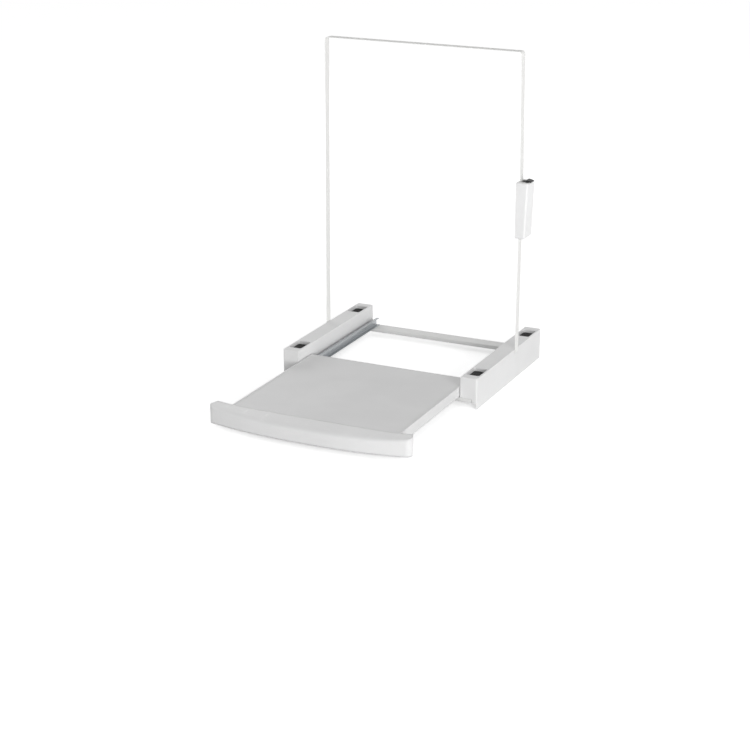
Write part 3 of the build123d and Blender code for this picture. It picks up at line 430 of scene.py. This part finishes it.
# Short strap: from the tensioner's bar down to the right anchor pin
bar_drop, bar_slope = wrap_radius / cos(bar_angle), tan(bar_angle)
short_corners = [
    (bar_x + bar_drop - bar_leg * bar_slope, bar_z - bar_leg),
    (bar_x + bar_drop + wrap_radius * bar_slope, bar_z + wrap_radius),
    (bar_x - wrap_radius, bar_z + wrap_radius),
] + anchor_corners(1)[::-1]
short_radii = [wrap_radius] * 2 + anchor_radii[::-1]


def make_strap(name, corners, radii):
    """Woven strap with thin rounded selvedges, and its length and width in metres as a UV map."""
    line = divided(rounded(corners, radii))
    edge = []
    for share in width_stops:
        thin = max(0.0, (abs(share) - selvedge_from) / selvedge_share)
        edge.append((share * strap_width / 2, strap_thick / 2 * (1 - thin * thin) ** 0.5))
    section = edge + [(y, -t) for y, t in edge[-2:0:-1]]
    rings, runs = [], [0.0]
    for i, point in enumerate(line):
        way = (line[min(i + 1, len(line) - 1)] - line[max(i - 1, 0)]).normalized()
        outward = Vector((-way.y, way.x))
        spots = [(point + outward * (strap_thick / 2 + t), y) for y, t in section]
        rings.append([(spot.x, strap_y + y, spot.y) for spot, y in spots])
        if i:
            runs.append(runs[-1] + (point - line[i - 1]).length)
    strap = lofted(name, rings)
    uv = strap.data.uv_layers.new(name="strap")
    for loop in strap.data.loops:
        row, spot = divmod(loop.vertex_index, len(section))
        uv.data[loop.index].uv = (runs[row], section[spot][0])
    strap.data.materials.append(finishes["webbing"])
    return strap, runs[-1]


# Spring

def wound_spring():
    """The cam's spring as one skin, its loose pieces welded together."""
    loose = bmesh.new()
    loose.from_mesh(frame["nodes"]["cam_spring"].data)
    bmesh.ops.remove_doubles(loose, verts=loose.verts, dist=merge_distance)
    loose.verts.index_update()
    mesh = bpy.data.meshes.new("cam_spring_wire")
    mesh.from_pydata([vert.co.copy() for vert in loose.verts], [],
                     [[vert.index for vert in face.verts] for face in loose.faces])
    loose.free()
    mesh.shade_smooth()
    mesh.set_sharp_from_angle(angle=spring_sharp)
    mesh.materials.append(finishes["spring_steel"])
    return keep(mesh, "cam_spring_wire")


# Pieces set out by Geometry Nodes

def set_out_tree():
    """Sets a copy of one piece on every point, turned as the point's own turn says."""
    tree = bpy.data.node_groups.new("set_out_pieces", "GeometryNodeTree")
    for label, kind in (("Points", "NodeSocketGeometry"), ("Piece", "NodeSocketObject"),
                        ("Size", "NodeSocketFloat"), ("Finish", "NodeSocketMaterial")):
        tree.interface.new_socket(label, in_out="INPUT", socket_type=kind)
    tree.interface.new_socket("Pieces", in_out="OUTPUT", socket_type="NodeSocketGeometry")
    given = add(tree, "NodeGroupInput")
    piece = add(tree, "GeometryNodeObjectInfo", Object=given.outputs["Piece"])
    turn = add(tree, "GeometryNodeInputNamedAttribute", {"data_type": "FLOAT_VECTOR"},
               Name="turn")
    copies = add(tree, "GeometryNodeInstanceOnPoints", Points=given.outputs["Points"],
                 Instance=piece.outputs["Geometry"], Rotation=turn.outputs["Attribute"],
                 Scale=given.outputs["Size"])
    real = add(tree, "GeometryNodeRealizeInstances", Geometry=copies.outputs[0])
    coloured = add(tree, "GeometryNodeSetMaterial", Geometry=real.outputs[0],
                   Material=given.outputs["Finish"])
    add(tree, "NodeGroupOutput", Pieces=coloured.outputs[0])
    return tree


def set_out(tree, name, piece, places, material, size=1.0):
    """One plain mesh of the piece at each (point, turn) in places."""
    mesh = bpy.data.meshes.new(name + "_points")
    mesh.from_pydata([point for point, turn in places], [], [])
    turns = mesh.attributes.new("turn", "FLOAT_VECTOR", "POINT")
    for spot, (point, turn) in zip(turns.data, places):
        spot.vector = turn
    holder = keep(mesh, name)
    modifier = holder.modifiers.new("set_out", "NODES")
    modifier.node_group = tree
    sockets = {item.name: item.identifier for item in tree.interface.items_tree}
    modifier[sockets["Piece"]] = piece
    modifier[sockets["Size"]] = size
    modifier[sockets["Finish"]] = material
    made = evaluated_mesh(holder)
    made.name = name
    made.set_sharp_from_angle(angle=piece_sharp)
    holder.modifiers.remove(modifier)
    holder.data = made
    bpy.data.objects.remove(piece)
    return holder


def make_screw(name, head, length):
    """Screw along +Z under its head's outline, with a rolled thread and a cross recess."""
    rows = [[(radius, z)] * round_steps for radius, z in head]
    start = head[-1][1]
    count = round((length - start) / thread_pitch * rows_in_pitch)
    for i in range(1, count + 1):
        z = start + (length - start) * i / count
        whole = min(1.0, (count - i) / (fading_pitches * rows_in_pitch))
        core = thread_root * (tip_core + tip_swell * whole)
        row = []
        for j in range(round_steps):
            phase = (z / thread_pitch - j / round_steps) % 1.0
            crest = max(0.0, 1 - abs(phase - crest_middle) * crest_slope)
            row.append((core + (thread_crest - thread_root) * crest * whole, z))
        rows.append(row)
    screw = lofted(name, [
        [(r * cos(2 * pi * j / round_steps), r * sin(2 * pi * j / round_steps), z)
         for j, (r, z) in enumerate(row)]
        for row in rows
    ])

    # Cross recess, narrower at its bottom; its cutter starts just clear of the head's face
    arm, half, face_z = recess_arm, recess_half, head[0][1]
    plus = [(arm, -half), (arm, half), (half, half), (half, arm), (-half, arm), (-half, half),
            (-arm, half), (-arm, -half), (-half, -half), (-half, -arm), (half, -arm),
            (half, -half)]
    cutter = lofted(name + "_recess", [
        [(x, y, face_z - recess_lead) for x, y in plus],
        [(x * recess_taper, y * recess_taper, face_z + recess_depth) for x, y in plus],
    ])
    boolean = screw.modifiers.new("recess", "BOOLEAN")
    boolean.operation, boolean.solver, boolean.object = "DIFFERENCE", "EXACT", cutter
    made = evaluated_mesh(screw)
    screw.modifiers.remove(boolean)
    screw.data = made
    bpy.data.objects.remove(cutter)
    return screw


def make_stitch():
    """One stitch: a short arched thread along X whose ends dip into the cloth."""
    rings = []
    for i in range(stitch_spans + 1):
        share = i / stitch_spans
        centre = Vector(((share - 0.5) * stitch_length, 0,
                         sin(pi * share) * stitch_arch - stitch_radius / 2))
        rings.append([
            centre + stitch_radius * Vector((0, cos(2 * pi * j / stitch_sides),
                                             sin(2 * pi * j / stitch_sides)))
            for j in range(stitch_sides)
        ])
    return lofted("stitch", rings)


def stitch_places(end, inner, pin):
    """Rows of stitches across a sewn end, on its face away from the pin, and their turns."""
    run = Vector((inner[0] - end[0], 0, inner[1] - end[1])).normalized()
    end = Vector((end[0], 0, end[1]))
    normal = Vector((-run.z, 0, run.x))
    if normal.dot(end - Vector((pin[0], 0, pin[1]))) < 0:
        normal.negate()
    along = Vector((0, 1, 0))
    turn = Matrix((along, normal.cross(along), normal)).transposed().to_euler()
    count = int((strap_width - 2 * stitch_length) / stitch_pitch)
    return [
        (end + run * from_end + normal * strap_thick
         + Vector((0, strap_y + (i - (count - 1) / 2) * stitch_pitch, 0)), turn)
        for from_end in stitch_rows for i in range(count)
    ]


# Studio

def seen(tree):
    """1 for what the eye sees straight, mirrored or through something clear, 0 for the rest."""
    path = add(tree, "ShaderNodeLightPath")
    mirrored = add(tree, "ShaderNodeMath", {"operation": "MAXIMUM"},
                   _0=path.outputs["Is Camera Ray"], _1=path.outputs["Is Glossy Ray"])
    return add(tree, "ShaderNodeMath", {"operation": "MAXIMUM"}, _0=mirrored.outputs[0],
               _1=path.outputs["Is Transmission Ray"]).outputs[0]


def studio():
    """Pale floor that keeps a soft shadow, an even sky, and low softboxes right and rear."""
    mesh = bpy.data.meshes.new("studio_floor")
    mesh.from_pydata(
        [(x * floor_reach, y * floor_reach, cad_box[0][2])
         for x, y in ((-1, -1), (1, -1), (1, 1), (-1, 1))],
        [], [(0, 1, 2, 3)])
    floor = keep(mesh, "studio_floor")
    material, tree = new_material("matt_white_studio_floor")
    lift = add(tree, "ShaderNodeMath", {"operation": "MULTIPLY"}, _0=seen(tree), _1=floor_glow)
    glow = add(tree, "ShaderNodeEmission", Color=white, Strength=lift.outputs[0])
    matt = add(tree, "ShaderNodeBsdfDiffuse", Color=linear(floor_colour),
               Roughness=floor_roughness)
    both = add(tree, "ShaderNodeAddShader", _0=glow.outputs[0], _1=matt.outputs[0])
    add(tree, "ShaderNodeOutputMaterial", Surface=both.outputs[0])
    mesh.materials.append(material)

    world = bpy.data.worlds.new("studio_sky")
    bpy.context.scene.world = world
    world.use_nodes = True
    tree = world.node_tree
    tree.nodes.clear()
    lighting = add(tree, "ShaderNodeBackground", Color=white, Strength=sky_light)
    backdrop = add(tree, "ShaderNodeBackground", Color=white, Strength=sky_seen)
    mixed = add(tree, "ShaderNodeMixShader", Fac=seen(tree), _1=lighting.outputs[0],
                _2=backdrop.outputs[0])
    add(tree, "ShaderNodeOutputWorld", Surface=mixed.outputs[0])

    for name, place, side, watts in softboxes:
        lamp = bpy.data.lights.new(name, "AREA")
        lamp.shape, lamp.size, lamp.energy = "SQUARE", side, watts
        holder = keep(lamp, name)
        holder.location = place
        holder.rotation_euler = (softbox_aim - Vector(place)).to_track_quat("-Z", "Y").to_euler()


def photo_camera():
    """Camera at the photograph's angle and scale, for a square picture."""
    camera = bpy.data.cameras.new("photo_camera")
    camera.sensor_fit, camera.sensor_width = "HORIZONTAL", camera_sensor_mm
    camera.lens = camera_lens_mm
    holder = keep(camera, "photo_camera")
    holder.location = camera_place
    holder.rotation_euler = (radians(90 - camera_down), 0, radians(camera_round))
    bpy.context.scene.camera = holder


photo_camera()
dress_cad_nodes()

for name, node, corners, radii in (
    ("long_strap_webbing", "long_strap", long_corners, long_radii),
    ("short_strap_webbing", "short_strap", short_corners, short_radii),
):
    strap, length = make_strap(name, corners, radii)
    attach(strap, "frame")
    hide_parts(node)

tree = set_out_tree()
sewn_ends = (
    stitch_places(long_corners[0], long_corners[1], (-anchor_x, anchor_z))
    + stitch_places(short_corners[-1], short_corners[-2], (anchor_x, anchor_z))
    + stitch_places(short_corners[0], short_corners[1], (bar_x, bar_z))
)
stitches = set_out(tree, "strap_stitches", make_stitch(), sewn_ends, thread_finish)
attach(stitches, "frame")

spring = wound_spring()
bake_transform(spring)
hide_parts("cam_spring")

# Each group of screws: its body, head and length, and the place and turn of each screw
screw_groups = {
    "crossbar_screws": ("frame", pan_head, crossbar_screw_length, [
        ((side * crossbar_screw_x, y, crossbar_screw_z), (0, 0, 0))
        for side in (-1, 1) for y in crossbar_screw_ys]),
    "frame_rail_screws": ("frame", pan_head, frame_rail_screw_length, [
        ((side * frame_rail_screw_x, y, frame_rail_screw_z), (pi, 0, 0))
        for side in (-1, 1) for y in frame_rail_screw_ys]),
    "shelf_rail_screws": ("shelf", flat_head, shelf_rail_screw_length, [
        ((side * shelf_rail_screw_x, shelf_rail_screw_start + shelf_rail_screw_pitch * row,
          shelf_rail_screw_z), (0, -quarter * side, 0))
        for side in (-1, 1) for row in range(shelf_rail_screw_count)]),
    "fascia_screws": ("shelf", pan_head, fascia_screw_length, [
        ((x, fascia_screw_y, fascia_screw_z), (quarter, 0, 0)) for x in fascia_screw_xs]),
    "cover_screws": ("frame", flat_head, cover_screw_length, [
        ((strap_face, strap_y + aside * cover_screw_aside, cover_middle_z + up * cover_screw_up),
         (0, quarter, 0))
        for aside in (-1, 1) for up in (-1, 1)]),
}
for node, (body, head, length, places) in screw_groups.items():
    screw = make_screw(node + "_one", head, length)
    group = set_out(tree, node + "_threaded", screw, places, finishes["screws"])
    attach(group, body)
    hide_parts(node)

studio()
bpy.context.scene.view_settings.view_transform = "Standard"
